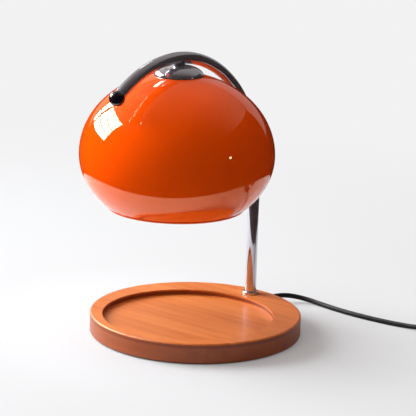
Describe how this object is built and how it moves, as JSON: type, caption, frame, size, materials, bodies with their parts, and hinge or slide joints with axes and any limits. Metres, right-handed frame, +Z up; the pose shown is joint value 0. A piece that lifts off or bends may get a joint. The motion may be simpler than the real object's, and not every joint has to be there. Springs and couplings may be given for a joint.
{
  "type": "candle warmer lamp",
  "caption": "Table lamp with a glossy shade under a chrome arch, whose reflector bulb warms a jar candle on a round wooden tray base.",
  "frame": {"origin": "centre of the base's underside, on the table", "axes": "+Z up, +Y from the base's centre to the pole, so the ball end of the arch is at -Y"},
  "size_m": [0.4107, 0.3662, 0.273],
  "materials": {
    "wood": "clear satin varnish over reddish brown beech",
    "foam": "fine foam",
    "steel": "plain zinc plated",
    "chrome": "mirror polished",
    "black_gloss": "glossy black ball",
    "orange_enamel": "high gloss orange enamel",
    "ceramic": "unglazed white ceramic",
    "bulb": "faceted reflector with a clear face",
    "brass": "plated",
    "cord": "matte black jacket",
    "black_plastic": "fine grained black plastic"
  },
  "bodies": {
    "stand": {"base_board": "wood", "base_cover": "black_plastic", "cover_screws": "steel", "foam_pad": "foam", "arch_tube": "chrome", "pole_collar": "chrome", "pole_insert": "steel", "pole_washer": "steel", "pole_nut": "steel", "ball_finial": "black_gloss", "finial_stud": "steel", "hanger_nipple": "steel", "hanger_boss": "chrome", "hanger_washer": "steel", "hanger_nut": "steel", "holder_bridge": "steel", "bridge_screws": "steel", "lamp_holder": "ceramic", "strain_relief": "black_plastic", "mains_lead": "cord", "dimmer_lower": "black_plastic", "dimmer_upper": "black_plastic", "cord_coil": "cord", "plug_body": "black_plastic", "plug_pins": "brass"},
    "shade": {"shade_shell": "orange_enamel", "dome_cap": "chrome"},
    "bulb": {"bulb_reflector": "bulb", "bulb_pins": "brass"},
    "dimmer_wheel": {"dimmer_wheel": "black_plastic"}
  },
  "joints": [
    {"name": "shade_turn", "type": "hinge", "parent": "stand", "child": "shade", "pos_m": [0, -0.0331, 0.2], "axis": [0, 0, 1], "continuous": true},
    {"name": "bulb_twist", "type": "hinge", "parent": "stand", "child": "bulb", "pos_m": [0, -0.0331, 0.2], "axis": [0, 0, 1], "range_deg": [-18, 0]},
    {"name": "dimmer_turn", "type": "hinge", "parent": "stand", "child": "dimmer_wheel", "pos_m": [0.202, 0.145, 0.0075], "axis": [0, 0, 1], "range_deg": [0, 270]}
  ]
}
